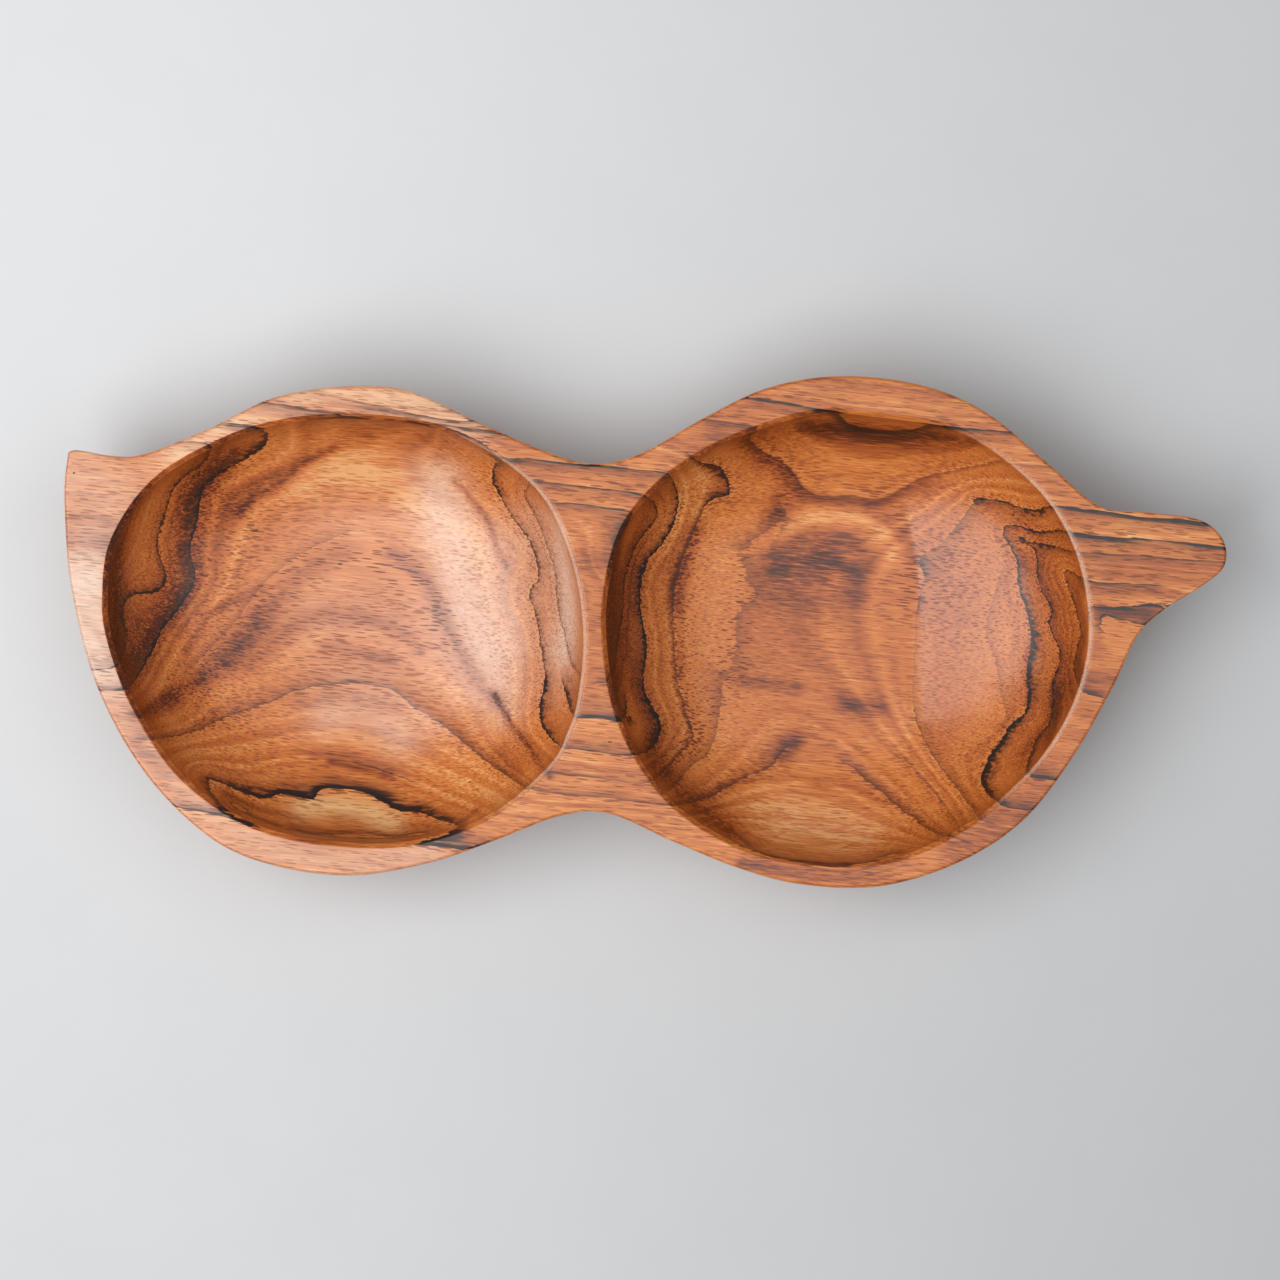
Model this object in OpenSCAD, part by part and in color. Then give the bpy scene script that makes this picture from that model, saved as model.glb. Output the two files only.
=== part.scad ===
// Divided serving bowl carved from one block of teak. Two oval hollows lie side
// by side with a thin ridge between them. The flat rim around them ends in a
// leaf corner on the left and in a rounded stem handle on the right. The sides
// curve in under the rim to a flat foot.
// X runs along the block towards the stem, Y runs across it and Z points up.
// The origin is the middle of the outline, on the surface that the bowl stands on.

/* [Block] */
// Length from the leaf end to the end of the stem
body_l = 360; // [300:1:480]
// Width across the wider end
body_w = 158.6; // [130:0.2:210]
// Height of the rim above the surface
body_h = 46; // [36:0.5:70]

/* [Outside] */
// Height of the upright band under the rim
band_h = 14; // [6:0.5:22]
// Distance that the band leans in from the rim to its lower edge
band_lean = 1.2; // [0.2:0.1:4]
// Ease along the outer edge of the rim
edge_ease = 0.9; // [0.3:0.1:2.5]
// Distance that the foot is drawn in from the rim
foot_inset = 34; // [22:0.5:38]
// Farthest reach of the foot from the middle line of the block
foot_reach = 50; // [30:1:70]

/* [Hollows] */
// Thickness of the wood under the deepest point
floor_t = 11.5; // [5:0.5:20]
// Width of the rim beside the left hollow
left_rim_w = 8.5; // [5:0.1:14]
// Width of the rim behind the right hollow
back_rim_w = 10; // [5:0.1:14]
// Width of the rim in front of the right hollow
front_rim_w = 6.5; // [5:0.1:14]
// Width of the rim at the leaf end
leaf_rim_w = 11.8; // [8:0.1:20]
// Thickness of the ridge between the hollows, at the rim
ridge_w = 4; // [3:0.1:10]
// Length of the solid stem past the right hollow
stem_l = 41.2; // [34:0.2:60]
// Width of the bevel around each hollow
bevel_w = 1.5; // [0.4:0.1:2.5]

/* [Hidden] */

// Outline of the rim as shares of the length and the width, from the leaf
// corner along the back, round the stem and home along the front
rim_shares = [
    [-0.498, 0.332], [-0.492, 0.355], [-0.459, 0.344], [-0.431, 0.348], [-0.376, 0.397],
    [-0.321, 0.457], [-0.259, 0.480], [-0.204, 0.471], [-0.142, 0.408], [-0.087, 0.354],
    [-0.046, 0.329], [-0.005, 0.348], [0.050, 0.418], [0.105, 0.477], [0.167, 0.500],
    [0.236, 0.483], [0.293, 0.429], [0.348, 0.326], [0.391, 0.246], [0.436, 0.233],
    [0.477, 0.219], [0.497, 0.180], [0.498, 0.129], [0.479, 0.090], [0.446, 0.043],
    [0.423, -0.009], [0.401, -0.113], [0.367, -0.247], [0.325, -0.368], [0.270, -0.450],
    [0.202, -0.497], [0.133, -0.493], [0.078, -0.460], [0.023, -0.409], [-0.032, -0.355],
    [-0.074, -0.360], [-0.129, -0.407], [-0.184, -0.450], [-0.252, -0.476], [-0.321, -0.456],
    [-0.376, -0.400], [-0.431, -0.275], [-0.472, -0.107], [-0.494, 0.082], [-0.500, 0.248]
];

// Edge of the left hollow as shares of its own length and width
left_shares = [
    [-0.500, 0.072], [-0.482, 0.210], [-0.397, 0.348], [-0.262, 0.440], [-0.136, 0.486],
    [0.010, 0.500], [0.180, 0.479], [0.318, 0.408], [0.421, 0.302], [0.480, 0.141],
    [0.499, -0.020], [0.487, -0.163], [0.466, -0.240], [0.426, -0.320], [0.304, -0.434],
    [0.143, -0.497], [-0.025, -0.499], [-0.194, -0.457], [-0.342, -0.342], [-0.438, -0.181],
    [-0.488, -0.032]
];

// Edge of the right hollow as shares of its own length and width
right_shares = [
    [-0.500, -0.005], [-0.495, 0.115], [-0.464, 0.235], [-0.404, 0.324], [-0.308, 0.404],
    [-0.184, 0.464], [-0.056, 0.499], [0.065, 0.491], [0.208, 0.465], [0.303, 0.414],
    [0.407, 0.314], [0.468, 0.202], [0.496, 0.082], [0.497, -0.027], [0.470, -0.138],
    [0.419, -0.240], [0.346, -0.330], [0.250, -0.413], [0.110, -0.485], [-0.046, -0.499],
    [-0.198, -0.471], [-0.335, -0.390], [-0.420, -0.287], [-0.477, -0.156]
];

// Place of the ridge along the length, and how far the left end reaches across
ridge_share = -0.044;
left_front_share = -0.476;
left_back_share = 0.480;

// Fullness of the curves: 2 is an ellipse, 1 is a straight slant, more is boxier
side_power = 2;
stem_power = 1.2;
hollow_power = 2.3;
foot_power = 4;
// Extra inset, as a share of the foot inset, at which the sides start to slant
slant_share = 0.15;

// Points between two outline points, and rings down each curve
outline_steps = 2;
hollow_steps = 3;
side_rings = 8;
hollow_rings = 10;
// Height that the hollows' cuts run past the rim
overrun = 1;

// Depth of each hollow below the rim, and height of the band's lower edge
hollow_d = body_h - floor_t;
band_z = body_h - band_h;

// Each hollow's box seen from above: its left, right, front and back edges
ridge_x = body_l * ridge_share;
left_box = [
    -body_l / 2 + leaf_rim_w,
    ridge_x - ridge_w / 2,
    body_w * left_front_share + left_rim_w,
    body_w * left_back_share - left_rim_w
];
right_box = [
    ridge_x + ridge_w / 2,
    body_l / 2 - stem_l,
    -body_w / 2 + front_rim_w,
    body_w / 2 - back_rim_w
];

// A point at t on the smooth closed curve through p, between points i and i + 1
function curve_at(p, i, t) =
    let (
        n = len(p),
        a = p[(i + n - 1) % n],
        b = p[i],
        c = p[(i + 1) % n],
        d = p[(i + 2) % n]
    )
    (2 * b + (c - a) * t + (2 * a - 5 * b + 4 * c - d) * t * t + (3 * b - a - 3 * c + d) * t * t * t) / 2;

function smooth(p, steps) = [
    for (i = [0 : len(p) - 1], k = [0 : steps - 1]) curve_at(p, i, k / steps)
];

function column(p, axis) = [for (q = p) q[axis]];

// Value v moved from the range of the list to the range from lo to hi
function refit(v, list, lo, hi) = lo + (hi - lo) * (v - min(list)) / (max(list) - min(list));

// Curve p stretched to fill a box of left, right, front and back edges
function fitted(p, box) =
    let (xs = column(p, 0), ys = column(p, 1))
    [for (q = p) [refit(q[0], xs, box[0], box[1]), refit(q[1], ys, box[2], box[3])]];

function middle(box) = [(box[0] + box[1]) / 2, (box[2] + box[3]) / 2];

rim_box = [-body_l / 2, body_l / 2, -body_w / 2, body_w / 2];
rim = fitted(smooth(rim_shares, outline_steps), rim_box);
left_edge = fitted(smooth(left_shares, hollow_steps), left_box);
right_edge = fitted(smooth(right_shares, hollow_steps), right_box);

// The middle line of the block runs from one hollow's middle to the other's
line_a = middle(left_box);
line_b = middle(right_box);

// Nearest point of the middle line to p
function on_line(p) =
    let (t = (p - line_a) * (line_b - line_a) / ((line_b - line_a) * (line_b - line_a)))
    line_a + min(max(t, 0), 1) * (line_b - line_a);

// Distance of the foot from the middle line under a rim point at a distance far
function foot_out(far) =
    let (near = far - foot_inset)
    near / pow(1 + pow(near / foot_reach, foot_power), 1 / foot_power);

// Fullness of the side above a foot point that lies drawn in by inset
function fullness(inset) =
    let (t = min(max(inset / foot_inset - 1 - slant_share, 0), 1))
    side_power + (stem_power - side_power) * t;

// Point p moved towards point q by the length d
function towards(p, q, d) = p + (q - p) * d / norm(q - p);

// Point at the share u of the way up the side under rim point p
function side_point(p, u) =
    let (
        q = on_line(p),
        far = norm(p - q),
        inset = far - foot_out(far),
        bow = 2 / fullness(inset),
        out = pow(sin(90 * u), bow),
        down = pow(cos(90 * u), bow),
        flat = towards(p, q, band_lean + (inset - band_lean) * (1 - out))
    )
    [flat[0], flat[1], band_z * (1 - down)];

// Ring of the curve moved in towards the middle line by d, at height z
function rim_ring(d, z) = [
    for (p = rim) let (q = towards(p, on_line(p), d)) [q[0], q[1], z]
];

// Ring of a hollow: its edge moved in by d, drawn to the middle m by f, at height z
function hollow_ring(edge, m, d, f, z) = [
    for (p = edge) let (q = m + (towards(p, m, d) - m) * f) [q[0], q[1], z]
];

// Faces between ring k and ring k + 1 of n points each, seen from outside
function wall_faces(k, n) = [
    for (i = [0 : n - 1], half = [0, 1])
        let (j = (i + 1) % n, a = k * n, b = (k + 1) * n)
        half == 0 ? [a + i, b + j, b + i] : [a + i, a + j, b + j]
];

// Which of the two hubs lies nearer to point p
function nearer(p, hubs) = norm(p - hubs[0]) < norm(p - hubs[1]) ? 0 : 1;

// Faces from each pair of neighbours on a ring to the hub or hubs nearer to them,
// where the ring's points count from start and the hubs' points from hub
function cap_faces(ring, hubs, start, hub) = [
    for (i = [0 : len(ring) - 1])
        let (
            j = (i + 1) % len(ring),
            a = len(hubs) == 1 ? 0 : nearer(ring[i], hubs),
            b = len(hubs) == 1 ? 0 : nearer(ring[j], hubs)
        )
        each [
            [start + i, start + j, hub + a],
            if (a != b) [start + j, hub + b, hub + a]
        ]
];

function flipped(faces) = [for (f = faces) [f[0], f[2], f[1]]];

// Solid through rings of equal counts, listed from the lowest to the highest, and
// closed by fans of faces from the hubs under the first and over the last
module ring_solid(rings, low_hubs, high_hubs) {
    n = len(rings[0]);
    last = len(rings) - 1;
    hub = n * (last + 1);
    polyhedron(
        points = concat([for (r = rings) each r], low_hubs, high_hubs),
        faces = concat(
            flipped(cap_faces(rings[0], low_hubs, 0, hub)),
            [for (k = [0 : last - 1]) each wall_faces(k, n)],
            cap_faces(rings[last], high_hubs, n * last, hub + len(low_hubs))
        )
    );
}

function lifted(p, z) = [p[0], p[1], z];

// The whole block, before it is hollowed
module block() {
    rings = concat(
        [for (k = [0 : side_rings]) [for (p = rim) side_point(p, k / side_rings)]],
        [rim_ring(0, body_h - edge_ease)],
        [rim_ring(edge_ease, body_h)]
    );
    ring_solid(
        rings,
        [lifted(line_a, 0), lifted(line_b, 0)],
        [lifted(line_a, body_h), lifted(line_b, body_h)]
    );
}

// The space inside one hollow, from its lowest ring up past the rim
module hollow(edge, box) {
    m = middle(box);
    bow = 2 / hollow_power;
    rings = concat(
        [
            for (k = [hollow_rings - 1 : -1 : 0])
                let (turn = 90 * k / hollow_rings)
                hollow_ring(
                    edge, m, bevel_w, pow(cos(turn), bow),
                    body_h - bevel_w - (hollow_d - bevel_w) * pow(sin(turn), bow)
                )
        ],
        [hollow_ring(edge, m, -overrun, 1, body_h + overrun)]
    );
    ring_solid(rings, [lifted(m, floor_t)], [lifted(m, body_h + overrun)]);
}

module carved_body() {
    color([0.74, 0.46, 0.27])
        difference() {
            block();
            hollow(left_edge, left_box);
            hollow(right_edge, right_box);
        }
}

carved_body();
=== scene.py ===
import math

import bmesh
import bpy
import numpy as np
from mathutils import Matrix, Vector
from mathutils.bvhtree import BVHTree
from mathutils.geometry import delaunay_2d_cdt


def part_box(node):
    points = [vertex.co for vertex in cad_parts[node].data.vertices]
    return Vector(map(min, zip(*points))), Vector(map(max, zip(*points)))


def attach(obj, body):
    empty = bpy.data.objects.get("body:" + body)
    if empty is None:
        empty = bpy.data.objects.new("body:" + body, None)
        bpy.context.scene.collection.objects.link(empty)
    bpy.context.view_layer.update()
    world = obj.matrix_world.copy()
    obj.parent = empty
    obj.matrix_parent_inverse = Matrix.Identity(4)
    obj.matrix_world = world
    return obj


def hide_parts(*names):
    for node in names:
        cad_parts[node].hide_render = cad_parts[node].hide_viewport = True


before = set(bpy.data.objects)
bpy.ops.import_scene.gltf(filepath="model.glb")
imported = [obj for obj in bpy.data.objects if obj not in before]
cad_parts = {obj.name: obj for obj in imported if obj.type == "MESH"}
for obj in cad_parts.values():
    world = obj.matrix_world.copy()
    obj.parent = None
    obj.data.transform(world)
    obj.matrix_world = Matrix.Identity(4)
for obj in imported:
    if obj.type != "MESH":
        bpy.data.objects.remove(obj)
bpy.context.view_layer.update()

# Every length here is in millimetres, and METRE turns it into Blender's metres
METRE = 0.001
low_corner, high_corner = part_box("carved_body")
BODY_L = (high_corner.x - low_corner.x) / METRE
BODY_W = (high_corner.y - low_corner.y) / METRE
BODY_H = (high_corner.z - low_corner.z) / METRE

# Sizes of the carved body, as in its construction
BAND_H = 14
BAND_LEAN = 1.2
FOOT_INSET = 34
FOOT_REACH = 50
FLOOR_T = 11.5
LEFT_RIM_W = 8.5
BACK_RIM_W = 10
FRONT_RIM_W = 6.5
LEAF_RIM_W = 11.8
RIDGE_W = 4
STEM_L = 41.2
BEVEL_W = 1.5
RIDGE_SHARE = -0.044
LEFT_FRONT_SHARE = -0.476
LEFT_BACK_SHARE = 0.480
SIDE_POWER = 2
STEM_POWER = 1.2
HOLLOW_POWER = 2.3
FOOT_POWER = 4
SLANT_SHARE = 0.15

# Outline of the rim as shares of the length and the width
RIM_SHARES = [
    (-0.498, 0.332), (-0.492, 0.355), (-0.459, 0.344), (-0.431, 0.348), (-0.376, 0.397),
    (-0.321, 0.457), (-0.259, 0.480), (-0.204, 0.471), (-0.142, 0.408), (-0.087, 0.354),
    (-0.046, 0.329), (-0.005, 0.348), (0.050, 0.418), (0.105, 0.477), (0.167, 0.500),
    (0.236, 0.483), (0.293, 0.429), (0.348, 0.326), (0.391, 0.246), (0.436, 0.233),
    (0.477, 0.219), (0.497, 0.180), (0.498, 0.129), (0.479, 0.090), (0.446, 0.043),
    (0.423, -0.009), (0.401, -0.113), (0.367, -0.247), (0.325, -0.368), (0.270, -0.450),
    (0.202, -0.497), (0.133, -0.493), (0.078, -0.460), (0.023, -0.409), (-0.032, -0.355),
    (-0.074, -0.360), (-0.129, -0.407), (-0.184, -0.450), (-0.252, -0.476), (-0.321, -0.456),
    (-0.376, -0.400), (-0.431, -0.275), (-0.472, -0.107), (-0.494, 0.082), (-0.500, 0.248),
]
# Edges of the two hollows as shares of their own length and width
LEFT_SHARES = [
    (-0.500, 0.072), (-0.482, 0.210), (-0.397, 0.348), (-0.262, 0.440), (-0.136, 0.486),
    (0.010, 0.500), (0.180, 0.479), (0.318, 0.408), (0.421, 0.302), (0.480, 0.141),
    (0.499, -0.020), (0.487, -0.163), (0.466, -0.240), (0.426, -0.320), (0.304, -0.434),
    (0.143, -0.497), (-0.025, -0.499), (-0.194, -0.457), (-0.342, -0.342), (-0.438, -0.181),
    (-0.488, -0.032),
]
RIGHT_SHARES = [
    (-0.500, -0.005), (-0.495, 0.115), (-0.464, 0.235), (-0.404, 0.324), (-0.308, 0.404),
    (-0.184, 0.464), (-0.056, 0.499), (0.065, 0.491), (0.208, 0.465), (0.303, 0.414),
    (0.407, 0.314), (0.468, 0.202), (0.496, 0.082), (0.497, -0.027), (0.470, -0.138),
    (0.419, -0.240), (0.346, -0.330), (0.250, -0.413), (0.110, -0.485), (-0.046, -0.499),
    (-0.198, -0.471), (-0.335, -0.390), (-0.420, -0.287), (-0.477, -0.156),
]

# How finely the mesh follows the curves
RIM_STEPS = 16
HOLLOW_STEPS = 24
SIDE_RINGS = 26
HOLLOW_RINGS = 64
PROFILE_STEPS = 400
BAND_RINGS = (0.33, 0.66)
FLAT_GRID = 1.3
FOOT_GRID = 4
SAME_POINT = 1e-6
# Insets and drops across an edge: flat, rounding, and what follows it
OUTER_EDGE = [(1.6, 0), (1.15, 0), (0.9, 0.03), (0.55, 0.16), (0.27, 0.4), (0.08, 0.75), (0, 1.2)]
INNER_EDGE = [(-0.55, 0), (-0.12, 0), (0.06, 0.05), (0.24, 0.2), (0.7, 0.66), (1.2, 1.16), (1.4, 1.4)]

# The photograph's frame: its middle, its scale at the rim, and the camera's height over it
PHOTO_PX = 1280
MM_PER_PX = 0.3095
ORIGIN_X_PX = 645.5
ORIGIN_Y_PX = 632
CAMERA_H = 1500
SENSOR_W = 36

# The trunk's middle runs along the block, above the rim: its place at mid length,
# its height, and its slope across the block
PITH_Y = 6.8
PITH_Z = 64
PITH_SLOPE = -0.1

# Growth lines in the photograph: ring radius in mm, darkness, and points in pixels,
# each with the line's width there as its third number
GROWTH_LINES_PX = [
    (47.3, 1, [
        (450, 428, 1), (480, 441, 1), (503, 457, 2), (540, 460, 2), (579, 464, 2), (610, 467, 2),
        (642, 471, 2), (666, 472.5, 2), (675, 484, 2.5), (679, 500, 3), (675, 520, 3), (663, 543, 2.5),
        (649, 559, 3), (642, 578, 4), (640.5, 600, 4), (643, 622, 3), (647.5, 649, 3), (643, 681, 3),
        (650.7, 704, 4), (658, 715, 6), (661, 731, 6), (651.5, 749, 4), (632, 755.8, 2), (600, 751.5, 1.5),
        (572, 748, 1.5), (561, 747, 2), (549, 736, 2.5), (541, 724, 3), (539, 706, 4), (545, 683, 3),
    ]),
    (47.3, 0.75, [
        (543, 662, 2), (539, 635, 2.3), (535, 613.6, 1.8), (528.5, 592, 1.5), (532.5, 585, 1),
        (538, 581, 1), (537, 565, 2), (531, 546, 2.2), (521.7, 530, 1.5), (511, 516, 1.3), (502, 500, 1.5),
    ]),
    (47.3, 1, [(499.5, 494, 2.3), (494.7, 488, 2.3), (492, 473, 2.5), (497, 459, 2.5)]),
    (47.3, 1, [
        (222, 422, 1.5), (256, 427, 2), (268, 436, 6), (262, 449, 7), (240, 462, 5), (215, 478, 4),
        (202, 493, 4), (198, 520, 3), (190, 553, 3), (196, 578, 3), (180, 607, 3), (164, 628, 4),
        (153, 650, 4), (138, 677, 3), (123, 690, 2), (100, 690, 1),
    ]),
    (47.3, 1, [
        (1200, 522, 3), (1160, 518, 3), (1110, 512, 3), (1073, 508, 3), (1049, 505.3, 3), (1035, 510, 4),
        (1016, 505, 1.5), (1001, 501, 1.5), (978, 496.6, 2),
    ]),
    (47.3, 0.55, [(971, 506, 3), (962, 518, 3), (953, 530, 4)]),
    (47.3, 0.35, [(945, 539, 1), (936, 546, 1), (926, 553, 1)]),
    (47.3, 0.75, [(918, 560, 2), (924, 570, 3)]),
    (47.3, 0.3, [(921, 585, 1.2), (919, 593, 1.2)]),
    (47.3, 0.6, [(918, 600, 3), (917, 603, 2.5)]),
    (47.3, 0.22, [(915, 625, 1), (914, 640, 1), (913, 670, 1), (912, 700, 1)]),
    (47.3, 0.6, [
        (914, 712, 1.3), (921, 734, 1.5), (943.6, 772, 1.5), (958, 790, 2.5), (971, 808, 2.5),
        (982, 820.7, 2),
    ]),
    (40.8, 0.9, [
        (534, 481, 1.2), (563, 483.5, 1.3), (590, 487, 1.3), (620, 490.5, 1.3), (642, 495.5, 1.3),
        (654, 502.5, 1.3), (657.5, 512, 1.3), (655, 522, 1.3), (638, 542, 1.3), (630, 562, 1.3),
        (624.5, 583, 1.3), (624.5, 600, 1.3), (619, 635, 1.3), (614.4, 665, 1.3), (606, 683, 1.2),
    ]),
    (40.8, 0.6, [
        (580, 678, 1.3), (570, 659.5, 1.5), (565, 638, 1.3), (559.5, 616, 1.3), (556, 592, 1.2),
        (554, 569, 1.3), (549, 552, 1.2), (543, 535, 1.2), (538, 522, 1.2), (530, 506, 1.2),
        (524, 495, 1.2), (527, 485, 1.2),
    ]),
    (40.8, 0.9, [
        (187, 441, 1), (209, 443, 1.3), (211, 448, 1.3), (202, 465, 1.3), (181, 480, 1.3), (171, 496, 1.3),
        (160, 532, 1.3), (158, 548, 1.3), (166, 577, 1.3), (158, 592, 2), (140, 594, 2), (130, 597, 3),
        (122, 612, 4), (127, 636, 1), (117, 665, 1.5), (95, 671, 1),
    ]),
    (40.8, 1, [
        (1224, 546, 3), (1170, 541, 3.5), (1110, 536.5, 3.5), (1075, 532, 3), (1054.5, 529.5, 2.5),
        (1042, 532, 3), (1023, 527, 1.7), (1013, 526, 1.5), (1002.5, 528, 1.5), (1007.7, 543, 2.5),
        (1017.5, 562, 2.5), (1017.2, 579, 2.5), (1021, 594, 3), (1027.6, 615, 4), (1031, 640, 5.5),
        (1027, 670, 5), (1027.5, 700, 4.5), (1022, 716, 3), (1008, 725, 4), (1005, 735, 3.5),
        (992, 751, 5), (985, 765, 8), (981, 781, 8), (988, 794, 4), (1002, 805, 3), (1010, 808.5, 1.5),
        (1034, 810, 1),
    ]),
    (44.0, 1, [
        (565, 690, 1), (569, 706, 3.5), (575, 717, 3), (592, 717.5, 4), (608, 720, 4.5), (622, 722, 5),
        (626, 711, 3), (627, 703, 1),
    ]),
    (44.0, 0.4, [
        (999, 577, 0.8), (989, 613, 0.8), (986, 636, 0.8), (994, 656, 0.8), (1001, 690, 0.8),
        (1006, 722, 0.8),
    ]),
    (35.8, 0.8, [
        (556, 502, 1), (587, 504.5, 1), (610, 508, 1), (632, 511, 1), (624, 530, 1.5), (613, 556, 1.5),
    ]),
    (35.8, 0.9, [
        (1224, 562, 0.8), (1170, 558.5, 1.3), (1110, 553.8, 1.3), (1075, 551, 1.3), (1051, 545, 1.5),
        (1032, 540.8, 1.5), (1015.5, 533, 1.3), (1027, 541, 0.8), (1036, 551, 1.2), (1036.5, 568, 1.3),
        (1040.6, 589, 1.3), (1053, 613, 1.3), (1047.6, 622, 1.3), (1058, 646, 1.3), (1060, 663, 1.3),
        (1053, 677, 2), (1052, 699, 2.5), (1050, 722, 1.5), (1039, 734, 1.5), (1030, 756, 2),
        (1026, 769, 3), (1032, 777.5, 4), (1045, 779, 4), (1059.7, 780.8, 3),
    ]),
    (27.0, 0.8, [
        (1150, 584, 1), (1110, 583, 1.5), (1092.6, 581.5, 1.5), (1080, 576, 1.3), (1066.6, 569.4, 1.3),
        (1063.2, 573, 1.3), (1070, 591, 1.3), (1075.5, 612, 1.8), (1080.5, 632, 1.3), (1076.5, 650, 2),
        (1073.6, 668, 1.5), (1079, 687, 2), (1085, 693, 2.5), (1095, 696, 3), (1106.5, 699.3, 2.5),
    ]),
    (27.0, 0.3, [
        (64, 516, 1), (95, 515, 1), (124, 517, 3), (118, 540, 4), (110, 556, 3), (104, 563, 2),
        (85, 561, 1), (64, 560, 0.8),
    ]),
    (22.5, 1, [
        (1168, 608, 1), (1150, 604, 1.3), (1133, 605.5, 1.3), (1118, 607, 1.2), (1103, 604.5, 1.3),
        (1093, 605, 2), (1100, 611.5, 1.5), (1115, 617.5, 1.3), (1128, 621, 1.5), (1140, 623.5, 1.2),
        (1151, 625, 1),
    ]),
    (54.5, 0.8, [
        (265, 402, 3), (300, 407, 3), (325, 412, 3.5), (360, 417, 5), (400, 421, 4), (440, 425, 2),
        (470, 428, 2), (500, 433, 1),
    ]),
    (54.5, 0.6, [
        (553, 773, 1), (589.5, 776.8, 1), (611.5, 780, 1), (640, 784, 1), (655, 778, 2), (665, 770, 2),
        (683, 750, 2), (694, 739, 1.5), (689, 722, 2), (682.6, 700, 1.5), (676, 670, 1), (673, 609, 1.5),
        (676, 583, 4), (684, 557, 5), (692, 536, 4), (702, 512, 3),
    ]),
    (54.5, 0.9, [
        (708, 502, 2.5), (714, 499, 3), (728, 497, 4), (730, 494, 4), (727, 478, 4), (720, 467, 4),
        (705, 463.5, 3), (694, 458, 2.5),
    ]),
    (54.5, 0.4, [(960, 832, 1), (948, 812, 2), (932, 790, 1), (905, 760, 1)]),
    (60.0, 0.6, [
        (703, 419, 1.5), (735, 423, 1.5), (753, 427, 2), (751, 440, 3), (764, 452, 2), (782, 462, 2),
        (795, 473, 3), (800, 484, 2),
    ]),
    (60.0, 0.4, [
        (815, 494, 3), (820, 496, 4), (850, 496, 3), (872, 500, 4), (893, 495, 3), (912, 483, 2),
        (930, 475, 2), (955, 470, 1), (985, 464, 2), (997, 459.5, 2), (1012, 463, 1.5), (1040, 466, 2),
    ]),
    (57.5, 0.45, [
        (788, 512, 1), (778, 521, 1.5), (757, 537, 2), (748, 544, 2), (743, 562, 2), (748, 580, 2),
        (757, 594, 2), (745, 605, 2), (735, 622, 2), (737, 645, 1.5), (731, 662, 2), (722, 692, 3),
        (717, 729, 2.5), (708, 754, 2), (690, 768, 2), (675, 787, 2), (660, 797, 1),
    ]),
    (62.5, 0.6, [
        (150, 740, 2), (190, 733, 1.5), (232, 715, 1.3), (270, 702, 1.3), (300, 690, 1.5), (350, 683, 1.5),
        (390, 690, 1.5), (415, 708, 1.5), (445, 727, 2), (475, 752, 2.5), (504, 774, 3.5), (530, 789.5, 2),
        (558, 794, 1.5), (600, 797, 1.5), (643, 803, 1.5), (668, 805.8, 2), (690.5, 803, 2),
        (715, 794.3, 2), (741.7, 779.3, 1.8), (771.7, 766, 3), (784, 750, 4),
    ]),
    (57.5, 0.35, [
        (190, 668, 1), (203, 656, 1.5), (233, 625, 2), (264, 584, 2), (300, 555, 2), (345, 533, 1.5),
    ]),
    (57.5, 0.15, [
        (378, 535, 1.5), (402, 545, 1.5), (432, 568, 1.5), (457, 613, 1.5), (470, 643, 1), (492, 684, 1),
    ]),
    (62.5, 0.6, [
        (850, 767, 2), (870.8, 784, 2.5), (902, 810, 3), (928, 829.3, 3.5), (942, 836, 4), (956, 838, 1.5),
    ]),
    (70.0, 1, [
        (740, 397, 1), (775, 400, 1.5), (805, 405.5, 2), (825, 409, 5), (840, 414, 9), (847, 422, 8),
        (862, 428, 6), (890, 431, 5), (912, 430, 5), (922, 426, 6), (936, 425, 5), (961, 428, 2.5),
        (1004, 431.2, 1.5),
    ]),
    (73.0, 0.6, [(318, 759, 1), (345, 761, 2), (372, 768, 2), (400, 778, 1)]),
    (77.5, 0.65, [
        (731, 833, 1), (753, 850, 2.5), (775, 858, 3), (800, 862, 3), (835, 866, 2.5), (865, 863, 2),
        (896, 853, 1),
    ]),
    (80.5, 0.7, [
        (228, 801, 1), (240, 810, 1.3), (256, 817.6, 1.5), (279, 826, 1.5), (302, 832, 1.3),
        (328, 835.7, 1.5), (355, 838, 1.3), (381, 838, 1.3), (401, 836, 1.3), (428, 831, 1),
    ]),
    (77.5, 1, [
        (180, 807.7, 1), (203, 812, 1.5), (219.5, 816, 2), (236, 821, 2), (252, 828, 1.5), (232, 814, 4),
        (223, 806, 4), (214, 795, 3), (209, 785, 2), (208, 779, 2), (220, 783, 2), (236, 789.5, 3),
        (252, 796, 8), (268, 799, 10), (279, 792, 8), (290, 795, 9), (302, 797, 10), (316, 800, 7),
        (318, 790, 8), (335, 788, 6), (361, 792, 6), (375, 798, 9), (390, 806, 12), (403, 813, 12),
        (416, 812, 7), (434, 818, 5), (457, 825, 2), (447, 834, 4), (430, 840, 6), (418, 845, 6),
        (434, 847, 5), (451, 848.5, 6), (467, 850, 5), (480, 847, 3),
    ]),
]

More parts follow.
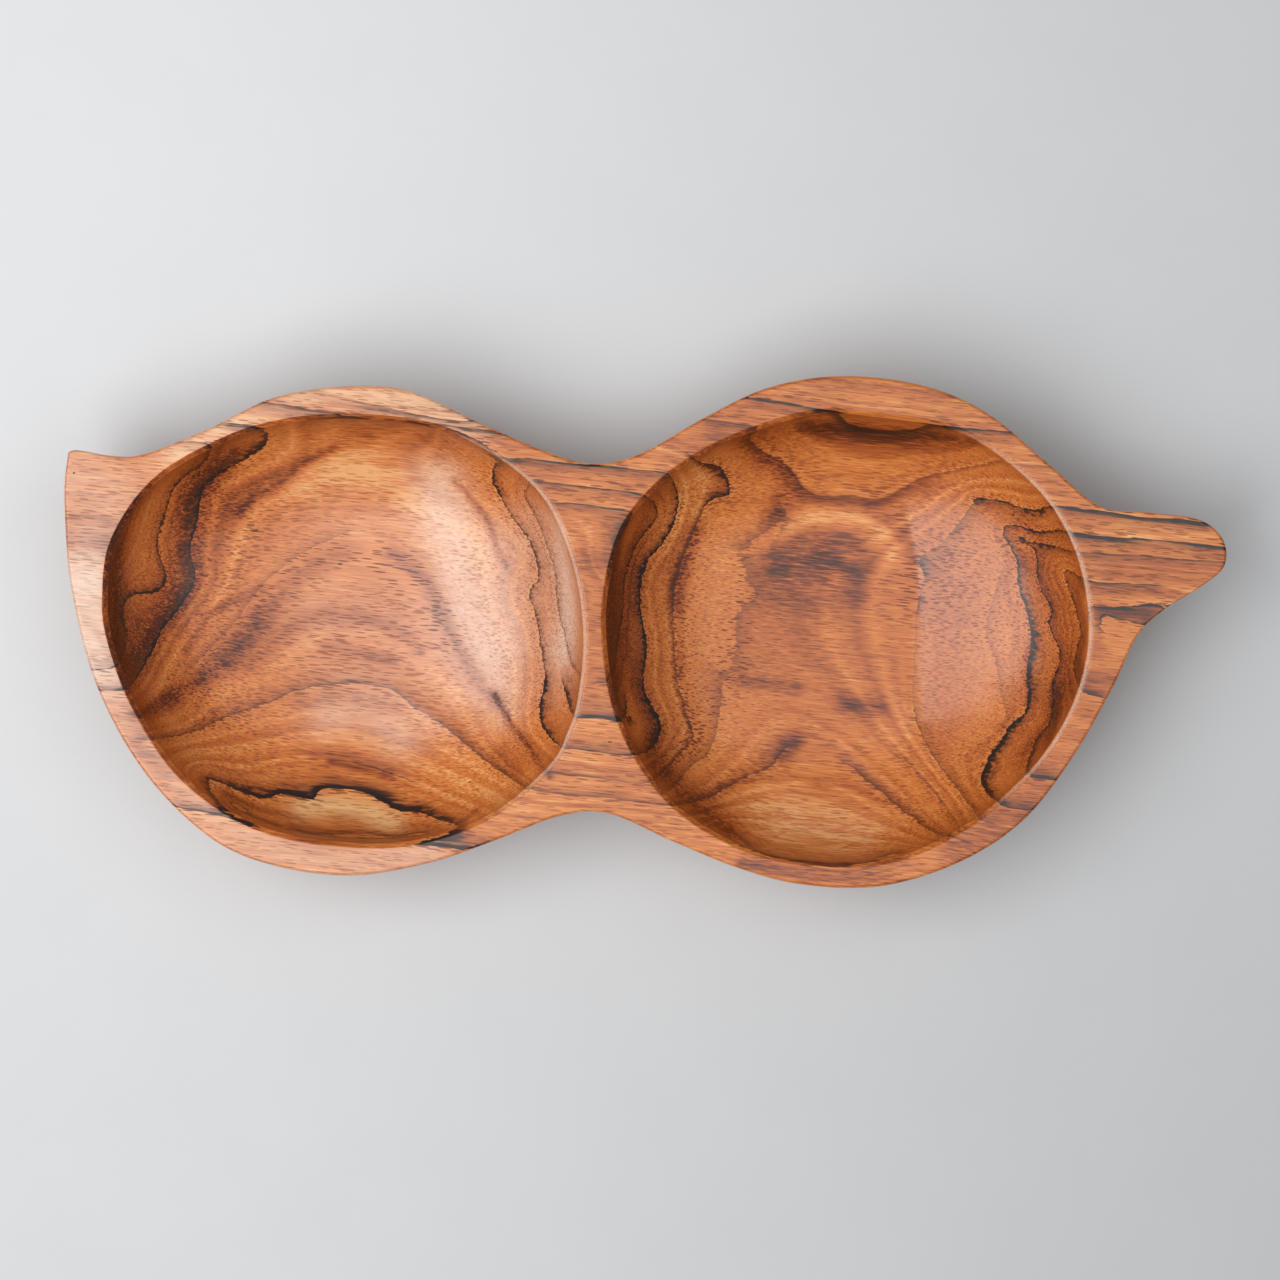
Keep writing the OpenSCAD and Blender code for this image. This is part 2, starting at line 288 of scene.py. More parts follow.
# Soft strokes in the photograph: how much, half width in mm, and points in pixels.
# Wood that is darker, or paler below zero, everywhere, in the hollows, and off them. The
# strokes in the hollows are painted shade on the walls that face away from the window lamp
TONE_PX = [
    (-0.15, 12, [(460, 770), (520, 800)]), (0.5, 1.5, [(1100, 608), (1130, 613), (1150, 615)]),
    (0.3, 1.6, [(62, 517), (95, 516), (108, 521)]), (0.25, 3, [(64, 540), (104, 543)]),
    (0.25, 1.5, [(84, 618), (96, 630), (108, 655)]),
    (0.4, 3.5, [(692, 530), (682, 557), (676, 585), (674, 605)]), (0.18, 22, [(800, 650), (830, 700)]),
    (0.3, 2.5, [(745, 862), (800, 868), (860, 868), (900, 856)]),
    (0.5, 1.3, [(336, 447), (318, 456), (299, 467), (272, 489), (256, 495), (240, 513)]),
    (0.25, 3, [(370, 440), (330, 448), (290, 465), (255, 485), (235, 515)]),
    (0.3, 5.5, [(262, 620), (245, 640), (228, 658)]),
    (0.3, 4, [(345, 552), (308, 570), (275, 600), (240, 640), (200, 672)]),
    (0.45, 2.5, [(203, 677), (180, 690), (158, 702), (135, 714)]),
    (0.25, 2.5, [(252, 668), (280, 640), (300, 622), (344, 614), (390, 628), (420, 650)]),
    (0.35, 2.5, [(326, 648), (360, 652), (393, 660)]),
    (0.35, 1.6, [(262, 588), (230, 603), (207, 615), (196, 633), (185, 650)]),
    (0.3, 3, [(180, 700), (150, 722), (140, 745), (165, 770)]),
    (0.25, 3, [(300, 702), (345, 698), (395, 708)]),
    (0.45, 3, [(392, 553), (425, 578), (446, 622), (468, 664), (494, 702)]),
    (0.7, 1.1, [(494, 694), (507, 716), (522, 738), (536, 757), (550, 776)]),
    (0.3, 3, [(500, 750), (520, 770)]),
    (0.5, 1.1, [(454, 481), (468, 495), (484, 514), (492, 532), (497, 549), (506, 566)]),
    (0.6, 3.5, [(810, 425), (870, 437), (905, 438), (940, 436), (975, 442)]),
    (0.35, 4, [(740, 440), (765, 465), (785, 480), (775, 510)]),
    (0.5, 8, [(785, 566), (815, 559), (850, 565)]), (0.22, 12, [(945, 560), (955, 640)]),
    (0.3, 2.2, [(770, 556), (790, 543), (815, 536), (840, 537), (862, 547)]),
    (0.25, 2.5, [(766, 574), (800, 560), (830, 560), (858, 572)]),
    (0.25, 3, [(800, 500), (782, 515), (768, 527)]),
    (0.35, 2.2, [(795, 490), (830, 501), (872, 505), (900, 496), (935, 479)]),
    (0.25, 2.5, [(872, 512), (895, 528), (912, 548)]), (0.22, 6, [(770, 594), (810, 600), (855, 594)]),
    (-0.25, 12, [(790, 815), (850, 830)]), (0.2, 8, [(250, 400), (330, 425), (400, 432), (450, 440)]),
    (0.3, 8, [(720, 440), (820, 425), (940, 440)]), (0.5, 3, [(794, 742), (783, 755)]),
    (0.4, 2.5, [(740, 680), (770, 684), (796, 688)]), (0.45, 3, [(845, 704), (880, 708)]),
    (0.3, 1.4, [(720, 788), (752, 780), (804, 778), (850, 786), (882, 802)]),
    (0.15, 1.2, [(770, 812), (820, 816), (870, 822)]), (0.14, 8, [(940, 690), (952, 740)]),
    (0.35, 4, [(575, 560), (605, 563)]), (0.22, 7, [(1040, 560), (1062, 620), (1070, 680), (1045, 740)]),
    (0.35, 3, [(1056, 690), (1056, 720), (1050, 740)]),
    (0.3, 2, [(1031, 640), (1027, 670), (1028, 700)]), (0.3, 5, [(1020, 760), (1035, 740)]),
    (-0.22, 3, [(780, 535), (800, 522), (830, 516), (866, 521), (888, 540), (892, 560)]),
    (-0.2, 6, [(700, 470), (688, 500), (678, 530)]), (0.25, 8, [(1040, 790), (1010, 820), (970, 855)]),
    (0.2, 8, [(1060, 700), (1080, 680), (1100, 660)]), (-0.25, 8, [(1130, 530), (1200, 540)]),
    (-0.2, 14, [(330, 470), (400, 480), (460, 540)]),
    (0.35, 1.4, [(225, 792), (250, 805), (280, 813), (300, 818)]),
    (0.3, 1.2, [(290, 824), (330, 831), (380, 832)]), (0.25, 3, [(300, 838), (360, 842), (410, 840)]),
    (0.35, 1.5, [(331, 760), (350, 765), (372, 770), (390, 775)]),
    (0.4, 1.2, [(457, 825), (467, 818), (478, 809)]),
]
# Painted shade on the hollows' walls that face away from the window lamp
WALL_PAINTED_SHADE_PX = [
    (0.95, 8, [(128, 470), (118, 520), (112, 575), (115, 640)]),
    (0.36, 7, [(225, 440), (190, 500), (180, 560), (150, 630), (118, 700)]),
    (0.45, 3, [(236, 452), (200, 488), (188, 508), (187, 522)]),
    (0.35, 2.5, [(186, 552), (188, 588), (168, 612), (145, 645), (125, 680)]),
    (0.6, 1.6, [(126, 517), (118, 540), (107, 563)]), (0.2, 5, [(225, 500), (205, 560), (180, 620)]),
    (0.54, 7, [(655, 765), (690, 800), (720, 825)]),
    (1.0, 5.5, [(622, 530), (613, 570), (610, 620), (614, 690)]), (0.4, 4, [(616, 700), (630, 740)]),
    (0.3, 5, [(665, 478), (640, 530), (628, 600), (630, 660), (655, 740)]),
]
RIM_TONE_PX = [
    (0.25, 1.5, [(740, 864), (790, 874), (850, 879), (905, 882)]),
    (0.3, 1.5, [(810, 380), (850, 385), (900, 392), (950, 398)]),
    (-0.35, 7, [(180, 455), (240, 420), (320, 394), (400, 398), (470, 425)]),
    (-0.1, 9, [(580, 480), (592, 500)]), (-0.1, 9, [(590, 750), (580, 790)]),
    (0.16, 8, [(595, 600), (596, 660)]), (0.15, 6, [(1120, 575), (1170, 575), (1200, 568)]),
]
# Pale wood, partly painted sheen on the walls and the left rim that face the window lamp,
# in the hollows, and off them
PALE_AND_SHEEN_PX = [
    (0.7, 6, [(560, 530), (570, 600), (566, 650)]),
    (0.55, 9, [(440, 480), (455, 570), (475, 640), (500, 700)]), (0.12, 12, [(790, 820), (850, 830)]),
    (0.32, 9, [(540, 520), (560, 600), (560, 680)]), (0.45, 8, [(330, 712), (365, 708), (400, 735)]),
    (0.45, 11, [(505, 550), (510, 640)]), (0.25, 20, [(330, 620), (420, 650)]),
    (0.12, 20, [(330, 500), (400, 500)]),
]
RIM_PALE_AND_SHEEN_PX = [
    (0.4, 13, [(80, 480), (105, 500), (90, 540)]), (1.0, 9, [(84, 580), (88, 620), (100, 660)]),
    (0.42, 8, [(115, 700), (180, 780), (250, 835), (340, 862), (430, 850)]),
    (0.3, 7, [(180, 455), (240, 420), (320, 396), (400, 400), (470, 425)]),
]
# Yellow wood, and porous wood
AMBER_PX = [
    (1.0, 5, [(305, 808), (350, 806), (390, 822)]),
]
PORES_PX = [
    (1.0, 6, [(190, 690), (220, 655), (264, 602), (305, 572), (345, 556), (400, 568)]),
    (1.2, 5, [(395, 562), (430, 595), (450, 640)]), (0.7, 8, [(690, 740), (720, 700), (735, 640)]),
    (0.6, 10, [(210, 480), (240, 530), (200, 580)]), (0.5, 8, [(300, 640), (400, 630)]),
    (0.6, 5, [(700, 540), (690, 600), (690, 680)]), (0.7, 4, [(745, 560), (740, 620), (738, 660)]),
    (0.8, 4, [(765, 450), (785, 480), (785, 510)]), (0.4, 9, [(790, 570), (830, 570), (870, 590)]),
    (0.7, 6, [(880, 505), (905, 540), (912, 600)]), (0.5, 9, [(950, 560), (960, 620)]),
    (0.4, 8, [(230, 720), (270, 740)]),
]

# Crests and creases that the carving left in the hollows: height, reach to each side,
# and points in pixels
CRESTS_PX = [
    (0.35, 6, [(395, 690), (445, 725), (490, 760), (531, 791)]),
    (0.35, 6, [(470, 665), (500, 700), (525, 738), (549, 770)]),
    (0.25, 4, [(542, 630), (552, 680), (566, 740)]),
    (0.35, 6, [(845, 745), (880, 775), (920, 805), (950, 835)]),
    (0.35, 6, [(905, 700), (920, 740), (955, 785), (985, 822)]),
    (0.25, 4, [(995, 690), (1003, 735), (1018, 780)]),
    (0.25, 4, [(1028, 660), (1035, 680), (1055, 735)]),
    (-1.2, 18, [(890, 470), (908, 520), (916, 570), (917, 620), (916, 670), (920, 720)]),
    (-0.8, 16, [(395, 500), (430, 550), (455, 600), (475, 650), (490, 690)]),
]
# Small dark pits in the wood: pixel of the photograph, and half length and half width in mm
PITS_PX = [
    ((255, 531), 1.8, 0.35), ((340, 564), 1.1, 0.35), ((74, 473), 0.45, 0.4), ((1013, 515), 0.6, 0.4),
    ((399, 508), 0.4, 0.35), ((610, 742), 0.8, 0.3), ((1048, 590), 0.6, 0.35), ((470, 782), 0.9, 0.3),
]
# Depth over which the crests grow in, the way that the bevel's painted highlight faces (to the
# window lamp), how dark the painted shade on its other side is, and the most that tone and
# painted shade may darken the wood
CREST_FADE = 6
HIGHLIGHT_WAY = (0.996, 0.087)
BEVEL_SHADE_DEPTH = 0.15
MOST_TONE_AND_SHADE = 0.9

# Neighbouring growth lines belong to different groups, so that each is drawn near its
# own traced points alone. Each group has a darkness for the sides, where none is traced
LEVELS = sorted({level for level, _, _ in GROWTH_LINES_PX})
SIDE_DARKNESS = (0.3, 0.9, 0.6)
SIDE_FADE = (2, 3)
GROUPS = len(SIDE_DARKNESS)
# Spacing of points along lines and strokes, and reach and looseness of the field's bend
LINE_SPACING = 2
STROKE_SPACING = 0.8
FIELD_REACH = 30
FIELD_NOISE = 1e-3
# Reach of a line's darkness and of its other traits, and what holds far from all lines
DARK_REACH = 3.5
WIDE_REACH = 8
NEAR_BLUR = 0.5
PLAIN_STEEP = 0.8
PLAIN_INK = 0.5
STEEP_RANGE = (0.08, 3)
SLOPE_STEP = 0.3
SLOPE_START = 10


def rise(value, start, length):
    """0 up to a start, then growing to 1 over a length."""
    return np.clip((value - start) / length, 0, 1)


def between(a, b, c, d, t):
    """Smooth curve from b to c, with a before and d after them, at shares t of the way."""
    bend = (2 * a - 5 * b + 4 * c - d) * t**2 + (3 * b - a - 3 * c + d) * t**3
    return (2 * b + (c - a) * t + bend) / 2


def closed_curve(points, steps):
    """Smooth closed curve through the points, with this many steps between two of them."""
    p = np.array(points, float)
    a, b, c, d = (np.roll(p, turn, axis=0)[:, None, :] for turn in (1, 0, -1, -2))
    t = np.linspace(0, 1, steps, endpoint=False)[None, :, None]
    return between(a, b, c, d, t).reshape(-1, 2)


def fitted(curve, box):
    """The curve stretched to fill a box of left, right, front and back edges."""
    low, high = curve.min(0), curve.max(0)
    share = (curve - low) / (high - low)
    start = np.array([box[0], box[2]])
    size = np.array([box[1] - box[0], box[3] - box[2]])
    return start + share * size


def towards(p, q, distance):
    """Points p moved towards points q by a distance."""
    way = q - p
    return p + way * (distance / np.linalg.norm(way, axis=1))[:, None]


def lifted(p, z):
    """Points of a plan at a height, or at one height each."""
    return np.column_stack([p, np.broadcast_to(z, len(p))])


def middle(box):
    return np.array([(box[0] + box[1]) / 2, (box[2] + box[3]) / 2])


ridge_x = BODY_L * RIDGE_SHARE
left_box = (
    -BODY_L / 2 + LEAF_RIM_W,
    ridge_x - RIDGE_W / 2,
    BODY_W * LEFT_FRONT_SHARE + LEFT_RIM_W,
    BODY_W * LEFT_BACK_SHARE - LEFT_RIM_W,
)
right_box = (
    ridge_x + RIDGE_W / 2,
    BODY_L / 2 - STEM_L,
    -BODY_W / 2 + FRONT_RIM_W,
    BODY_W / 2 - BACK_RIM_W,
)
rim_box = (-BODY_L / 2, BODY_L / 2, -BODY_W / 2, BODY_W / 2)
rim = fitted(closed_curve(RIM_SHARES, RIM_STEPS), rim_box)
left_edge = fitted(closed_curve(LEFT_SHARES, HOLLOW_STEPS), left_box)
right_edge = fitted(closed_curve(RIGHT_SHARES, HOLLOW_STEPS), right_box)
line_a, line_b = middle(left_box), middle(right_box)


def on_line(p):
    """Nearest points of the block's middle line."""
    way = line_b - line_a
    t = np.clip((p - line_a) @ way / (way @ way), 0, 1)
    return line_a + t[:, None] * way


def side_ring(share):
    """Ring of the side at a share of the way up from the foot to the band."""
    centre = on_line(rim)
    far = np.linalg.norm(rim - centre, axis=1)
    near = far - FOOT_INSET
    inset = far - near / (1 + (near / FOOT_REACH) ** FOOT_POWER) ** (1 / FOOT_POWER)
    slant = np.clip(inset / FOOT_INSET - 1 - SLANT_SHARE, 0, 1)
    bow = 2 / (SIDE_POWER + (STEM_POWER - SIDE_POWER) * slant)
    turn = math.pi / 2 * share
    out = math.sin(turn) ** bow
    down = max(math.cos(turn), 0) ** bow
    flat = towards(rim, centre, BAND_LEAN + (inset - BAND_LEAN) * (1 - out))
    return lifted(flat, (BODY_H - BAND_H) * (1 - down))


def outer_rings():
    """Rings of the outside, from the foot up to the rim's flat top."""
    rings = [side_ring(k / SIDE_RINGS) for k in range(SIDE_RINGS + 1)]
    band_top = BODY_H - OUTER_EDGE[-1][1]
    for share in BAND_RINGS:
        z = BODY_H - BAND_H + (band_top - BODY_H + BAND_H) * share
        lean = BAND_LEAN * (1 - share)
        rings.append(lifted(towards(rim, on_line(rim), lean), z))
    for inset, drop in reversed(OUTER_EDGE):
        rings.append(lifted(towards(rim, on_line(rim), inset), BODY_H - drop))
    return rings


def hollow_rings(edge, box):
    """Rings of a hollow, from the rim's flat top down to near its deepest point."""
    centre = np.broadcast_to(middle(box), edge.shape)
    rings = [lifted(towards(edge, centre, inset), BODY_H - drop) for inset, drop in INNER_EDGE]
    start = towards(edge, centre, BEVEL_W)
    depth = BODY_H - FLOOR_T - BEVEL_W
    turns = np.linspace(0, math.pi / 2, PROFILE_STEPS)
    bow = 2 / HOLLOW_POWER
    reach = np.maximum(np.cos(turns), 0) ** bow
    fall = np.sin(turns) ** bow
    mean_radius = np.linalg.norm(start - centre, axis=1).mean()
    steps = np.hypot(np.diff(reach) * mean_radius, np.diff(fall) * depth)
    along = np.concatenate([[0], np.cumsum(steps)])
    wanted = np.linspace(0, along[-1], HOLLOW_RINGS + 1)[:-1]
    for reach_k, fall_k in zip(np.interp(wanted, along, reach), np.interp(wanted, along, fall)):
        rings.append(lifted(centre + (start - centre) * reach_k, BODY_H - BEVEL_W - depth * fall_k))
    return rings


def inside(points, loop):
    """Which of the points lie inside a closed loop."""
    x, y = points[:, 0:1], points[:, 1:2]
    ax, ay = loop[:, 0], loop[:, 1]
    bx, by = np.roll(ax, -1), np.roll(ay, -1)
    crosses = (ay > y) != (by > y)
    at = ax + (y - ay) * (bx - ax) / np.where(by == ay, 1, by - ay)
    return (crosses & (x < at)).sum(1) % 2 == 1


def in_area(points, plans):
    """Which of the points lie inside the first plan and outside the others."""
    kept = inside(points, plans[0])
    for plan in plans[1:]:
        kept &= ~inside(points, plan)
    return kept


def grid_spots(plans, grid):
    """Triangular grid of points in the area of the plans, clear of their outlines."""
    outline = np.vstack(plans)
    low, high = outline.min(0), outline.max(0)
    xs = np.arange(low[0], high[0], grid)
    ys = np.arange(low[1], high[1], grid * math.sqrt(3) / 2)
    gx, gy = np.meshgrid(xs, ys)
    gx[1::2] += grid / 2
    spots = np.column_stack([gx.ravel(), gy.ravel()])
    spots = spots[in_area(spots, plans)]
    gap = np.array([np.hypot(*(outline - spot).T).min() for spot in spots])
    return spots[gap > grid / 2]


class Surface:
    """Points and faces gathered from rings and flat areas."""

    def __init__(self):
        self.points = []
        self.faces = []
        self.count = 0

    def add(self, points):
        """Takes in points and returns their numbers."""
        self.points.append(np.asarray(points, float))
        first = self.count
        self.count += len(points)
        return np.arange(first, self.count)

    def skin(self, rings):
        """Faces between rings of equal counts; returns the first and the last ring."""
        index = [self.add(ring) for ring in rings]
        for low, high in zip(index, index[1:]):
            quads = np.column_stack([low, np.roll(low, -1), np.roll(high, -1), high])
            self.faces += quads.tolist()
        return index[0], index[-1]

    def close(self, ring, apex):
        """Fan of faces from a ring to one point."""
        tip = self.add([apex])[0]
        self.faces += [[a, b, tip] for a, b in zip(ring, np.roll(ring, -1))]

    def fill(self, loops, z, grid):
        """Flat area at a height inside the first loop and outside the others."""
        every = np.vstack(self.points)
        plans = [every[loop][:, :2] for loop in loops]
        spots = grid_spots(plans, grid)
        edges, first = [], 0
        for plan in plans:
            edges += [(first + i, first + (i + 1) % len(plan)) for i in range(len(plan))]
            first += len(plan)
        places = [Vector(p) for p in np.vstack([*plans, spots])]
        found = delaunay_2d_cdt(places, edges, [], 0, SAME_POINT, True)
        new_points, triangles, sources = found[0], found[2], found[3]
        index = np.concatenate([*loops, self.add(lifted(spots, z))])
        names = [index[source[0]] for source in sources]
        centres = np.array([np.mean([new_points[i] for i in t], axis=0) for t in triangles])
        kept = in_area(centres, plans)
        self.faces += [[names[i] for i in t] for t, keep in zip(triangles, kept) if keep]


def body_surface():
    """The whole carved surface, and which of its points lie in the hollows."""
    surface = Surface()
    foot, top = surface.skin(outer_rings())
    hollow_start = surface.count
    loops = [top]
    for edge, box in ((left_edge, left_box), (right_edge, right_box)):
        rim_loop, low_loop = surface.skin(hollow_rings(edge, box))
        surface.close(low_loop, [*middle(box), FLOOR_T])
        loops.append(rim_loop)
    hollow_points = np.arange(hollow_start, surface.count)
    surface.fill(loops, BODY_H, FLAT_GRID)
    surface.fill([foot], 0, FOOT_GRID)
    return np.vstack(surface.points), surface.faces, hollow_points


points, faces, hollow_points = body_surface()
tree = BVHTree.FromPolygons([Vector(p) for p in points], faces)
camera_place = Vector((
    (PHOTO_PX / 2 - ORIGIN_X_PX) * MM_PER_PX,
    (ORIGIN_Y_PX - PHOTO_PX / 2) * MM_PER_PX,
    BODY_H + CAMERA_H,
))


def on_body(x_px, y_px):
    """Point of the body that shows at a pixel of the photograph, in millimetres."""
    aim = Vector(((x_px - ORIGIN_X_PX) * MM_PER_PX, (ORIGIN_Y_PX - y_px) * MM_PER_PX, BODY_H))
    hit = tree.ray_cast(camera_place, aim - camera_place)[0]
    return hit if hit else aim


def open_curve(values, spacing):
    """Smooth open curve through rows of values, whose first two are pixels."""
    p = np.array(values, float)
    p = np.vstack([2 * p[0] - p[1], p, 2 * p[-1] - p[-2]])
    rows = []
    for a, b, c, d in zip(p, p[1:], p[2:], p[3:]):
        steps = max(1, round(math.hypot(*(c - b)[:2]) * MM_PER_PX / spacing))
        rows += [between(a, b, c, d, t) for t in np.arange(steps) / steps]
    return np.array(rows + [p[-2]])


def placed(rows):
    """The rows' points on the body."""
    return np.array([on_body(row[0], row[1]) for row in rows])


def distances(a, b):
    """Distances between all points of a and all points of b."""
    square = (a**2).sum(1)[:, None] + (b**2).sum(1)[None, :] - 2 * a @ b.T
    return np.sqrt(np.maximum(square, 0))


def in_parts(points, work, size=4000):
    """work(points), a few thousand points at a time."""
    return np.concatenate([work(points[i : i + size]) for i in range(0, len(points), size)])


def ring_radius(p):
    """Distance from the trunk's middle, which runs along the block over the rim."""
    across = p[:, 1] - PITH_Y - PITH_SLOPE * p[:, 0]
    return np.hypot(across, p[:, 2] - PITH_Z)


def likeness(a, b):
    """How much the wood's waviness at a tells of that at b, from 1 down to 0."""
    r = math.sqrt(3) / FIELD_REACH * distances(a, b)
    return (1 + r) * np.exp(-r)


def growth_field():
    """Ring radius as a function of points, bent so that the traced lines keep their own,
    and the lines' points with their group, darkness and width."""
    places, levels, groups, darks, widths = [], [], [], [], []
    for level, dark, rows in GROWTH_LINES_PX:
        curve = open_curve(rows, LINE_SPACING)
        places.append(placed(curve))
        levels += [level] * len(curve)
        groups += [LEVELS.index(level) % GROUPS] * len(curve)
        darks += [dark] * len(curve)
        widths += list(curve[:, 2])
    places = np.vstack(places)
    levels, groups = np.array(levels), np.array(groups)
    darks, widths = np.array(darks), np.array(widths)
    bend = levels - ring_radius(places)
    grid = likeness(places, places) + FIELD_NOISE * np.eye(len(places))
    weights = np.linalg.solve(grid, bend)

    def field(p):
        return ring_radius(p) + in_parts(p, lambda part: likeness(part, places) @ weights)

    return field, places, groups, darks, widths


def plan_slope(field, places):
    """How fast the field changes along the surface, per millimetre seen from above."""
    slopes = []
    here = field(places)
    for way in ((SLOPE_STEP, 0), (0, SLOPE_STEP)):
        moved = []
        for p in places:
            start = Vector((p[0] + way[0], p[1] + way[1], BODY_H + SLOPE_START))
            hit = tree.ray_cast(start, Vector((0, 0, -1)))[0]
            moved.append(hit if hit else Vector(p))
        slopes.append((field(np.array(moved)) - here) / SLOPE_STEP)
    return np.hypot(*slopes)


def spread(points, places, values, default, reach):
    """Values of the nearest places at each point, falling back to a default far away."""
    far_weight = reach ** -4

    def work(part):
        weight = (distances(part, places) ** 2 + NEAR_BLUR**2) ** -2
        return np.column_stack([weight @ values, weight.sum(1)])

    near = in_parts(points, work)
    return (near[:, 0] + far_weight * default) / (near[:, 1] + far_weight)


def strokes(points, soft_lines):
    """Sum of soft strokes at each point."""
    total = np.zeros(len(points))
    for amount, width, rows in soft_lines:
        places = placed(open_curve(rows, STROKE_SPACING))
        near = in_parts(points, lambda part: distances(part, places).min(1))
        total += amount * np.exp(-((near / width) ** 2))
    return total


def carved(points, normals):
    """The points with the crests of the carving raised in the hollows."""
    raised = np.zeros(len(points))
    part = points[hollow_points]
    for height, reach, rows in CRESTS_PX:
        places = placed(open_curve(rows, LINE_SPACING))
        near = in_parts(part, lambda some: distances(some, places).min(1))
        raised[hollow_points] += height * np.exp(-2 * near / reach)
    grown = rise(BODY_H - BEVEL_W - points[:, 2], 0, CREST_FADE)
    return points + normals * (raised * grown)[:, None]


def bevel_light_and_shade(points):
    """How far the bevel of the hollows has a painted highlight on its right side, which faces the
    window lamp, and painted shade on its left side, which faces away from it."""
    part = points[hollow_points]
    at_left = (part[:, 0] < ridge_x)[:, None]
    way = part[:, :2] - np.where(at_left, middle(left_box), middle(right_box))
    facing = way @ np.array(HIGHLIGHT_WAY) / np.maximum(np.linalg.norm(way, axis=1), 1)
    drop = BODY_H - part[:, 2]
    on_bevel = rise(drop, 0.1, 0.2) * rise(BEVEL_W - drop, 0, 0.3)
    bevel_highlight, bevel_shade = np.zeros(len(points)), np.zeros(len(points))
    bevel_highlight[hollow_points] = on_bevel * rise(facing, 0.5, 0.35)
    bevel_shade[hollow_points] = on_bevel * rise(-facing, 0.1, 0.5)
    return bevel_highlight, bevel_shade


def wood_facts(points):
    """What the wood needs to know at each point, by name."""
    field, places, groups, darks, widths = growth_field()
    slopes = np.clip(plan_slope(field, places), *STEEP_RANGE)
    steep = spread(points, places, slopes, PLAIN_STEEP, WIDE_REACH)
    facts = {"growth": field(points), "steep": steep}
    on_side = rise(BODY_H - points[:, 2], *SIDE_FADE)
    on_side[hollow_points] = 0
    for group, darkness in enumerate(SIDE_DARKNESS):
        own = groups == group
        dark = spread(points, places[own], darks[own], darkness * on_side, DARK_REACH)
        ink = spread(points, places[own], widths[own] * MM_PER_PX, PLAIN_INK, WIDE_REACH)
        facts |= {f"dark_{group}": dark, f"ink_{group}": ink}
    in_hollow = np.zeros(len(points))
    in_hollow[hollow_points] = points[hollow_points, 2] < BODY_H
    off_hollow = 1 - in_hollow
    # Painted highlight and painted shade on the bevel, by the way it faces the window lamp
    facts["bevel_highlight"], bevel_shade = bevel_light_and_shade(points)
    # Tone of the wood, with painted shade on the hollows' walls that face away from the window lamp
    wood_tone_and_shade = strokes(points, TONE_PX) + in_hollow * strokes(points, WALL_PAINTED_SHADE_PX)
    wood_tone_and_shade += off_hollow * strokes(points, RIM_TONE_PX) + BEVEL_SHADE_DEPTH * bevel_shade
    facts["wood_tone_and_shade"] = np.minimum(wood_tone_and_shade, MOST_TONE_AND_SHADE)
    # Pale wood mixed with painted sheen on the walls and the left rim that face the window lamp
    facts["pale_and_sheen"] = in_hollow * strokes(points, PALE_AND_SHEEN_PX)
    facts["pale_and_sheen"] += off_hollow * strokes(points, RIM_PALE_AND_SHEEN_PX)
    facts["amber"] = strokes(points, AMBER_PX)
    facts["pores"] = strokes(points, PORES_PX)
    return facts


def in_scene(name, data):
    """A new object of the scene with this data."""
    made = bpy.data.objects.new(name, data)
    bpy.context.scene.collection.objects.link(made)
    return made


def body_piece():
    """The carved body as one mesh, before its crests are raised."""
    mesh = bpy.data.meshes.new("carved_wood")
    mesh.from_pydata((points * METRE).tolist(), [], faces)
    made = bmesh.new()
    made.from_mesh(mesh)
    bmesh.ops.recalc_face_normals(made, faces=made.faces)
    made.to_mesh(mesh)
    made.free()
    mesh.polygons.foreach_set("use_smooth", [True] * len(mesh.polygons))
    mesh.update()
    return in_scene("carved_wood", mesh)


piece = body_piece()
normals = np.zeros(len(points) * 3)
piece.data.vertex_normals.foreach_get("vector", normals)
shaped = carved(points, normals.reshape(-1, 3))
piece.data.vertices.foreach_set("co", (shaped * METRE).ravel())
for name, values in wood_facts(points).items():
    piece.data.attributes.new(name, "FLOAT", "POINT").data.foreach_set("value", values)
piece.data.update()
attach(piece, "root")
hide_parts("carved_body")


